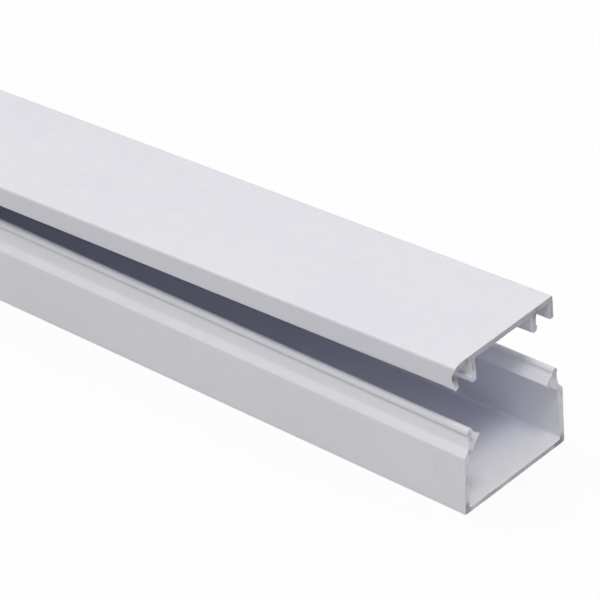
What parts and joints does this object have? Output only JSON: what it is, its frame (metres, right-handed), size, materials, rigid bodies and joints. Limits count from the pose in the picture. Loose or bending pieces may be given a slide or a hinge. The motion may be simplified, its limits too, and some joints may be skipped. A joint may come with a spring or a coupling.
{
  "type": "cord cover raceway",
  "caption": "Straight two-piece cord cover raceway: a U-shaped base channel with beaded lips and inner hooks, and a flat snap-fit cover clipped at one end and lifted at the other.",
  "frame": {"origin": "middle of the base channel's flat back, which is glued or screwed to the wall and here lies on the floor", "axes": "+X along the length towards the end where the cover is lifted, +Z out of the channel's open side towards the cover"},
  "size_m": [0.4015, 0.025, 0.0267],
  "materials": {
    "base_plastic": "satin white extruded plastic",
    "cover_plastic": "satin white extruded plastic"
  },
  "bodies": {
    "root": {"base_channel": "base_plastic", "snap_cover": "cover_plastic"}
  },
  "joints": []
}
